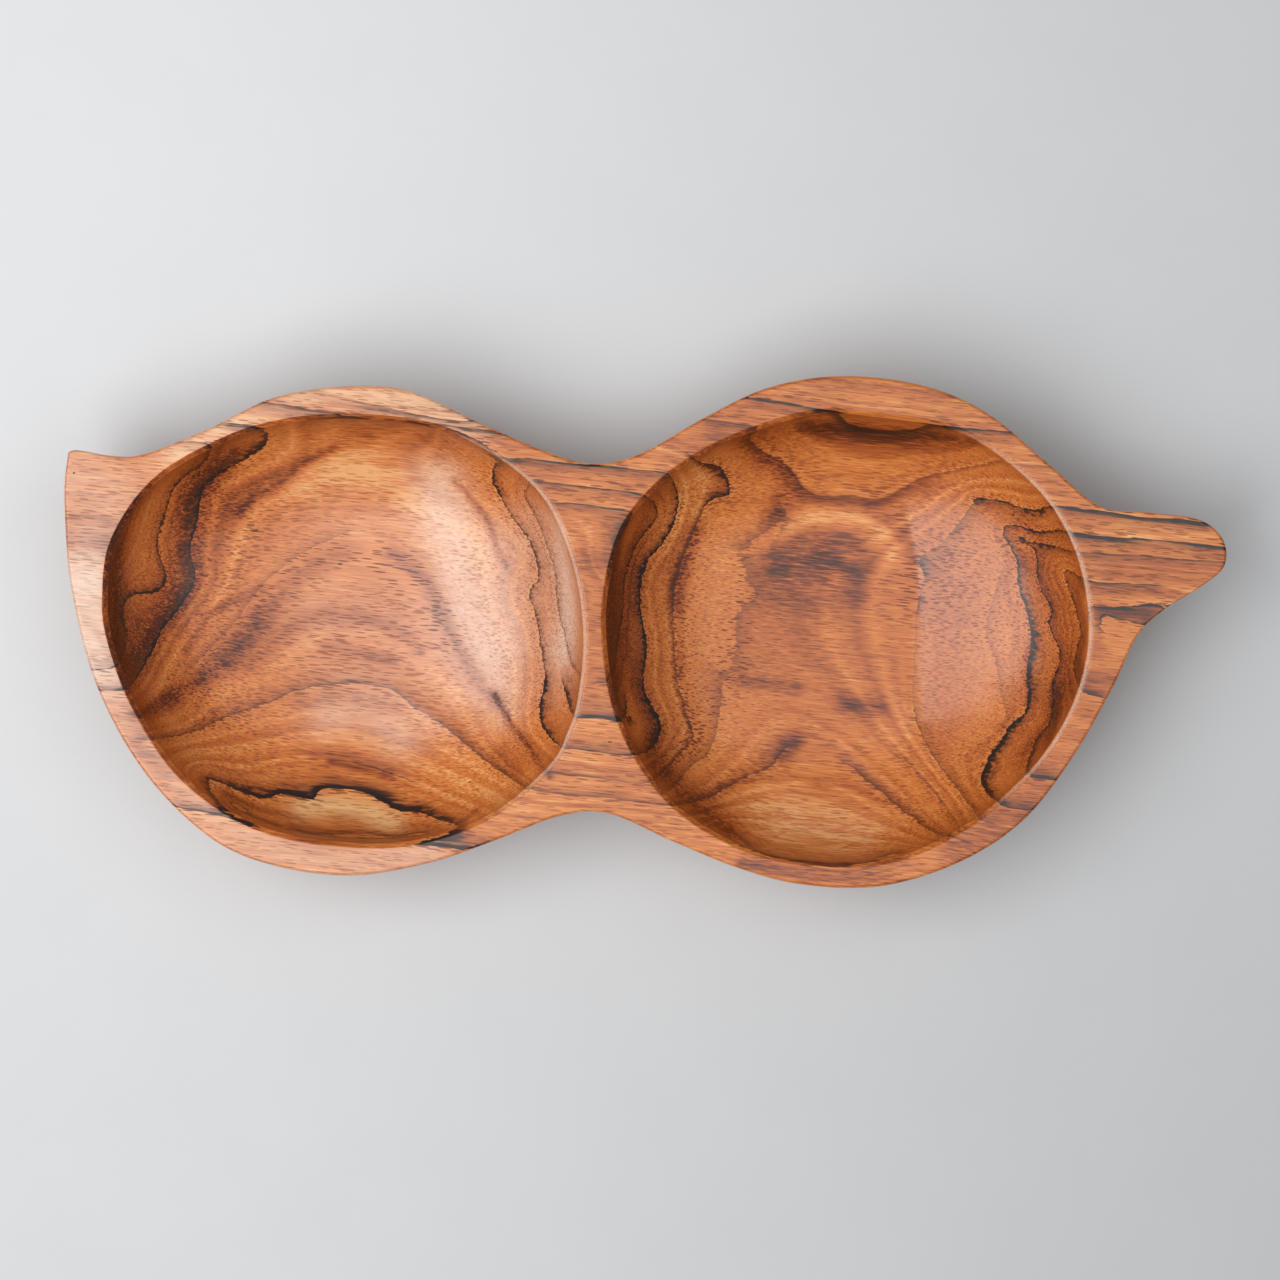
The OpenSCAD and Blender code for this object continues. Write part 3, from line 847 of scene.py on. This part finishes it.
class Nodes:
    """Short calls that add shader nodes to one material and link them."""

    def __init__(self, name):
        self.material = bpy.data.materials.new(name)
        self.material.use_nodes = True
        self.tree = self.material.node_tree
        self.shader = self.tree.nodes["Principled BSDF"]

    def put(self, socket, value):
        """Links a socket to another, or sets it to a plain value."""
        if isinstance(value, bpy.types.NodeSocket):
            self.tree.links.new(value, socket)
        else:
            socket.default_value = value

    def new(self, kind, inputs=(), **settings):
        """A shader node with these settings, and with inputs by name or number."""
        made = self.tree.nodes.new("ShaderNode" + kind)
        for key, value in settings.items():
            setattr(made, key, value)
        for key, value in dict(inputs).items():
            self.put(made.inputs[key], value)
        return made

    def math(self, operation, *values):
        made = self.new("Math", dict(enumerate(values)), operation=operation)
        return made.outputs[0]

    def chain(self, operation, first, *others):
        """The operation on the first two values, then on its result and the next."""
        for value in others:
            first = self.math(operation, first, value)
        return first

    def add(self, *values):
        return self.chain("ADD", *values)

    def times(self, *values):
        return self.chain("MULTIPLY", *values)

    def less(self, a, b):
        return self.math("SUBTRACT", a, b)

    def attribute(self, name):
        return self.new("Attribute", attribute_name=name).outputs["Fac"]

    def place(self):
        return self.new("TexCoord").outputs["Object"]

    def stretched(self, sizes):
        """Coordinates along, across and up the grain, in cells of these sizes in mm."""
        turned = {"Vector": self.place(), "Rotation": (0, 0, -math.atan(PITH_SLOPE))}
        grain = self.new("Mapping", turned).outputs[0]
        scale = [1 / (size * METRE) for size in sizes]
        return self.new("Mapping", {"Vector": grain, "Scale": scale}).outputs[0]

    def noise(self, sizes, detail=2):
        """Noise about zero, in cells of these sizes."""
        inputs = {"Vector": self.stretched(sizes), "Scale": 1, "Detail": detail}
        made = self.new("TexNoise", inputs, normalize=True)
        return self.less(made.outputs["Fac"], 0.5)

    def noise_along(self, value, size, detail=2):
        """Noise about zero that changes with one value alone, in cells of this size."""
        inputs = {"W": self.times(value, 1 / size), "Scale": 1, "Detail": detail}
        made = self.new("TexNoise", inputs, noise_dimensions="1D")
        return self.less(made.outputs["Fac"], 0.5)

    def cells(self, sizes):
        """Distance to the middle of the nearest of scattered cells of these sizes."""
        inputs = {"Vector": self.stretched(sizes), "Scale": 1, "Randomness": 1}
        return self.new("TexVoronoi", inputs).outputs["Distance"]

    def vector(self, operation, *values):
        return self.new("VectorMath", dict(enumerate(values)), operation=operation).outputs

    def pit(self, centre, length, width):
        """1 within an oval along the grain about a centre, falling to 0 at its edge."""
        scale = [1 / (size * METRE) for size in (length, width, width)]
        away = self.vector("SUBTRACT", self.place(), centre)["Vector"]
        away = self.vector("MULTIPLY", away, scale)["Vector"]
        return self.step(self.vector("LENGTH", away)["Value"], PIT_CORE, 1, 1, 0)

    def step(self, value, low, high, from_value=0, to_value=1):
        """Smooth step of a value between two bounds."""
        made = self.new("MapRange", interpolation_type="SMOOTHSTEP")
        for socket, number in zip(made.inputs, (value, low, high, from_value, to_value)):
            self.put(socket, number)
        return made.outputs[0]

    def decay(self, value, reach):
        """Falls from 1 towards 0 as a value grows past a reach."""
        return self.math("EXPONENT", self.times(self.math("DIVIDE", value, reach), -1))

    def ramp(self, value, stops):
        made = self.new("ValToRGB", {"Fac": value})
        stops_made = made.color_ramp.elements
        while len(stops_made) < len(stops):
            stops_made.new(1)
        for element, (place, colour) in zip(stops_made, stops):
            element.position = place
            element.color = (*colour, 1)
        return made.outputs[0]

    def mix(self, share, under, colour, blend="MIX"):
        """A share of a colour over what is under it."""
        inputs = {"Factor": share, "A": under, "B": (*colour, 1)}
        made = self.new("Mix", inputs, data_type="RGBA", blend_type=blend)
        return made.outputs["Result"]


# Colours of the wood from its darkest to its palest value, and of what lies over it
WOOD_STOPS = [
    (0.0, (0.05, 0.009, 0.0015)),
    (0.3, (0.19, 0.035, 0.005)),
    (0.55, (0.45, 0.106, 0.016)),
    (0.8, (0.68, 0.215, 0.042)),
    (1.0, (0.84, 0.40, 0.14)),
]
# Pale wood, and painted sheen where walls and rim face the window lamp
PALE_AND_SHEEN_COLOUR = (0.81, 0.59, 0.46)
AMBER = (0.90, 0.56, 0.25)
# Painted highlight on the bevel's side that faces the window lamp
BEVEL_HIGHLIGHT_COLOUR = (0.86, 0.60, 0.47)
INK_COLOUR = (0.012, 0.006, 0.004)
BROWN_INK_COLOUR = (0.11, 0.028, 0.008)
PORE_TINT = (0.34, 0.18, 0.12)

# Value of plain wood, and what sways it: noises, by cells in mm along, across and up the
# grain, detail and strength, and bands of the rings
PLAIN_VALUE = 0.73
FIGURES = {
    "patches": ((60, 22, 22), 2, 0.25),
    "streaks": ((26, 1.6, 1.6), 3, 0.16),
    "dashes": ((9, 0.55, 0.55), 2, 0.2),
    "fibres": ((9, 0.4, 0.4), 2, 0.7),
}
BAND_W = 2.2
BAND_START = 7
BAND_SWAY = 0.55
BAND_GROWTH = (0, 0.6, 0.2, 1)
# What darkens it: the lines' shade, and tone with the painted shade of the walls and bevel,
# more so in streaks and dashes
SHADE_DEPTH = 0.3
TONE_DEPTH = 0.72
TONE_STREAKS = 1.3
TONE_DASHES = 2.2
# Strength of pale wood with painted sheen, of yellow wood and of the painted bevel highlight,
# and what figure and tone change in the pale
PALE_SHEEN_SHARE = 0.74
AMBER_SHARE = 0.7
BEVEL_HIGHLIGHT_SHARE = 0.55
PALE_SHEEN_FIGURE = 0.8
PALE_SHEEN_LOSS = 1.2

# Raggedness of the growth lines: cells in mm of a wave and a larger tooth
WAVE_CELL = (24, 3.5, 3.5)
TOOTH_CELL = (12, 1, 1)
TOOTH_SIZE = 1.5
# The ink's width by noises: cells, and shares of the width at the noise's two sides
INK_CHANGES = [((24, 5, 5), 0.6, 1.35), ((18, 1.1, 1.1), 0.35, 1.65)]
NOISE_SIDES = (-0.2, 0.2)
# Where the ink starts in mm and ends in shares of its width, and the darkness it needs
INK_START = (-0.1, 0.06)
INK_END = (0.55, 1.45)
INK_DARKNESS = (0.2, 0.9)
# Reach of the brown fade and the shade inward, as a share of the ink's width and mm more,
# and of the porous early wood outward
FADE_REACH = (1.8, 0.4)
FADE_STRENGTH = 0.8
SHADE_REACH = (3.5, 2)
EARLY_REACH = 2.5
FAR = 1000

# Pores: cells in mm, size as a share of a cell and what adds to it, and soft edges
PORE_CELL = (6, 0.7, 0.7)
PORE_SIZE = 0.31
PORE_EDGE = (0.8, 1.05)
PORE_RING_W = 4
PORE_BY_RING = 0.4
PORE_BY_TONE = 0.08
PORE_BY_DENSE = 0.1
LONG_PORE_CELL = (18, 2, 2)
LONG_PORE_EDGE = (0.07, 0.13)
# Strength of pores: anywhere, more in dense places, less in pale wood and painted sheen
PORE_STRENGTH = 0.5
DENSE_STRENGTH = 0.5
PALE_SHEEN_PORE_LOSS = 0.2
SHADE_DENSE = 0.5
PIT_CORE = 0.6


def growth_marks(n, ring, steep):
    """Ink, brown fade and shade of the growth lines, and porous early wood beyond them."""
    changes = [n.step(n.noise(cell), *NOISE_SIDES, *sides) for cell, *sides in INK_CHANGES]
    ink, fade, wide, early = 0, 0, 0, 0
    for group in range(GROUPS):
        width = n.times(n.attribute(f"ink_{group}"), *changes)
        dark = n.attribute(f"dark_{group}")
        inward, outward = FAR, FAR
        for level in LEVELS[group::GROUPS]:
            gap = n.math("DIVIDE", n.less(level, ring), steep)
            past = n.times(n.math("LESS_THAN", gap, INK_START[0]), FAR)
            inward = n.math("MINIMUM", inward, n.add(gap, past))
            past = n.times(n.math("GREATER_THAN", gap, 0), FAR)
            outward = n.math("MINIMUM", outward, n.add(n.times(gap, -1), past))
        edge = n.times(n.step(inward, *INK_START), dark)
        line = n.step(inward, *(n.times(width, share) for share in INK_END), 1, 0)
        line = n.times(edge, line, n.step(dark, *INK_DARKNESS))
        near, far = (n.add(n.times(width, share), more) for share, more in (FADE_REACH, SHADE_REACH))
        brown = n.times(edge, n.decay(inward, near), FADE_STRENGTH)
        ink = n.math("MAXIMUM", ink, line)
        fade = n.math("MAXIMUM", fade, brown)
        wide = n.math("MAXIMUM", wide, n.times(edge, n.decay(inward, far)))
        early = n.math("MAXIMUM", early, n.times(n.decay(outward, EARLY_REACH), dark))
    return ink, fade, wide, early


def wood_figure(n, ring, steep, wide, wood_tone_and_shade):
    """Colour of the wood without its lines and pores, its fibres, and its share of pale wood and painted
    sheen.
    """
    bands = n.noise_along(n.add(ring, BAND_START), BAND_W, detail=3)
    bands = n.times(bands, n.step(steep, *BAND_GROWTH))
    value = n.add(PLAIN_VALUE, n.times(bands, BAND_SWAY))
    figures = {}
    for name, (cell, detail, sway) in FIGURES.items():
        figures[name] = n.noise(cell, detail)
        value = n.add(value, n.times(figures[name], sway))
    _, streaks, dashes, fibres = figures.values()
    value = n.less(value, n.times(wide, SHADE_DEPTH))
    speckle = n.add(n.times(streaks, TONE_STREAKS), n.times(dashes, TONE_DASHES))
    value = n.less(value, n.times(wood_tone_and_shade, n.add(TONE_DEPTH, speckle)))
    colour = n.ramp(value, WOOD_STOPS)
    figure = n.add(fibres, streaks)
    # Pale wood and painted sheen
    pale_and_sheen = n.times(n.attribute("pale_and_sheen"), n.add(PALE_SHEEN_SHARE, n.times(figure, PALE_SHEEN_FIGURE)))
    pale_and_sheen = n.times(pale_and_sheen, n.less(1, n.times(wood_tone_and_shade, PALE_SHEEN_LOSS)))
    colour = n.mix(pale_and_sheen, colour, PALE_AND_SHEEN_COLOUR)
    amber = n.times(n.attribute("amber"), n.add(AMBER_SHARE, figure))
    return n.mix(amber, colour, AMBER), fibres, pale_and_sheen


def pores(n, ring, wood_tone_and_shade, dense):
    """Short dark tubes along the grain: many fine ones, and a few long ones."""
    size = n.add(PORE_SIZE, n.times(n.noise_along(ring, PORE_RING_W), PORE_BY_RING))
    size = n.add(size, n.times(wood_tone_and_shade, PORE_BY_TONE), n.times(dense, PORE_BY_DENSE))
    edge = [n.times(size, share) for share in PORE_EDGE]
    fine = n.step(n.cells(PORE_CELL), *edge, 1, 0)
    return n.math("MAXIMUM", fine, n.step(n.cells(LONG_PORE_CELL), *LONG_PORE_EDGE, 1, 0))


def teak():
    """Wood with its growth lines, pores and pits, painted highlight and shade on its bevel, and a coat of
    oil.
    """
    n = Nodes("teak")
    steep, wood_tone_and_shade = n.attribute("steep"), n.attribute("wood_tone_and_shade")
    ragged = n.add(n.noise(WAVE_CELL), n.times(n.noise(TOOTH_CELL), TOOTH_SIZE))
    ring = n.add(n.attribute("growth"), n.times(steep, ragged))
    ink, fade, wide, early = growth_marks(n, ring, steep)
    colour, fibres, pale_and_sheen = wood_figure(n, ring, steep, wide, wood_tone_and_shade)

    dense = n.add(n.attribute("pores"), n.times(wide, SHADE_DENSE), early)
    pore = pores(n, ring, wood_tone_and_shade, dense)
    strength = n.math("MINIMUM", n.add(PORE_STRENGTH, n.times(dense, DENSE_STRENGTH)), 1)
    strength = n.less(strength, n.times(pale_and_sheen, PALE_SHEEN_PORE_LOSS))
    colour = n.mix(n.times(pore, strength), colour, PORE_TINT, "MULTIPLY")
    colour = n.mix(fade, colour, BROWN_INK_COLOUR)
    for (x_px, y_px), length, width in PITS_PX:
        ink = n.math("MAXIMUM", ink, n.pit(on_body(x_px, y_px) * METRE, length, width))
    colour = n.mix(ink, colour, INK_COLOUR)
    # Painted highlight on the bevel
    bevel_highlight = n.times(n.attribute("bevel_highlight"), n.add(BEVEL_HIGHLIGHT_SHARE, fibres))
    n.put(n.shader.inputs["Base Color"], n.mix(bevel_highlight, colour, BEVEL_HIGHLIGHT_COLOUR))

    # Fibres and pores make the surface rougher and uneven
    rough = n.add(0.40, n.times(fibres, 0.2), n.times(pore, 0.15))
    n.put(n.shader.inputs["Roughness"], rough)
    height = n.less(n.times(fibres, 0.3), pore)
    relief = {"Height": height, "Strength": 0.2, "Distance": 0.15 * METRE}
    n.put(n.shader.inputs["Normal"], n.new("Bump", relief).outputs[0])
    n.shader.inputs["IOR"].default_value = 1.48
    n.shader.inputs["Coat Weight"].default_value = 0.5
    n.shader.inputs["Coat Roughness"].default_value = 0.2
    return n.material


piece.data.materials.append(teak())

# The pale table, whose brightness changes across and along it as painted light falloff, darker
# towards the right and the front: from where to where in metres, and from what to what
TABLE_SIZE = 8000
TABLE_COLOUR = (0.69, 0.705, 0.715)
TABLE_ACROSS = (-0.2, 0.25, 1.02, 0.85)
TABLE_ALONG = (-0.25, 0.2, 0.90, 1.05)
CLOUD_CELL = (30, 30, 30)
CLOUD_SWAY = 0.04


def table():
    half = TABLE_SIZE / 2 * METRE
    mesh = bpy.data.meshes.new("table")
    corners = [(-half, -half, 0), (half, -half, 0), (half, half, 0), (-half, half, 0)]
    mesh.from_pydata(corners, [], [(0, 1, 2, 3)])
    n = Nodes("pale_table")
    x, y, _ = n.new("SeparateXYZ", {0: n.place()}).outputs
    clouds = n.add(1, n.times(n.noise(CLOUD_CELL, detail=3), CLOUD_SWAY))
    shade = n.times(clouds, n.step(x, *TABLE_ACROSS), n.step(y, *TABLE_ALONG))
    pale = n.new("VectorMath", {0: TABLE_COLOUR}, operation="SCALE")
    n.put(pale.inputs["Scale"], shade)
    n.put(n.shader.inputs["Base Color"], pale.outputs[0])
    n.shader.inputs["Roughness"].default_value = 0.7
    n.shader.inputs["Specular IOR Level"].default_value = 0.2
    mesh.materials.append(n.material)
    in_scene("table", mesh)


def area_lamp(name, place, width, height, radiance):
    """Soft lamp of this width and height in metres, at a place and turned to the bowl."""
    data = bpy.data.lights.new(name, "AREA")
    data.shape = "RECTANGLE"
    data.size, data.size_y = width, height
    data.energy = radiance * math.pi * width * height
    lamp = in_scene(name, data)
    lamp.location = place
    lamp.rotation_euler = (Vector() - Vector(place)).to_track_quat("-Z", "Y").to_euler()
    lamp.visible_camera = False


def studio():
    area_lamp("window", place=(-0.73, -0.22, 1.30), width=1.5, height=0.95, radiance=3.8)
    area_lamp("ceiling", place=(0.3, 0, 2.2), width=2.4, height=2.4, radiance=1.15)
    world = bpy.data.worlds.new("room")
    world.use_nodes = True
    room = world.node_tree.nodes["Background"].inputs
    room["Color"].default_value = (0.9, 0.92, 0.95, 1)
    room["Strength"].default_value = 0.2
    bpy.context.scene.world = world
    bpy.context.scene.view_settings.view_transform = "Standard"


def camera():
    data = bpy.data.cameras.new("camera")
    data.sensor_width = SENSOR_W
    data.lens = SENSOR_W * CAMERA_H / (PHOTO_PX * MM_PER_PX)
    made = in_scene("camera", data)
    made.location = camera_place * METRE
    bpy.context.scene.camera = made


table()
studio()
camera()
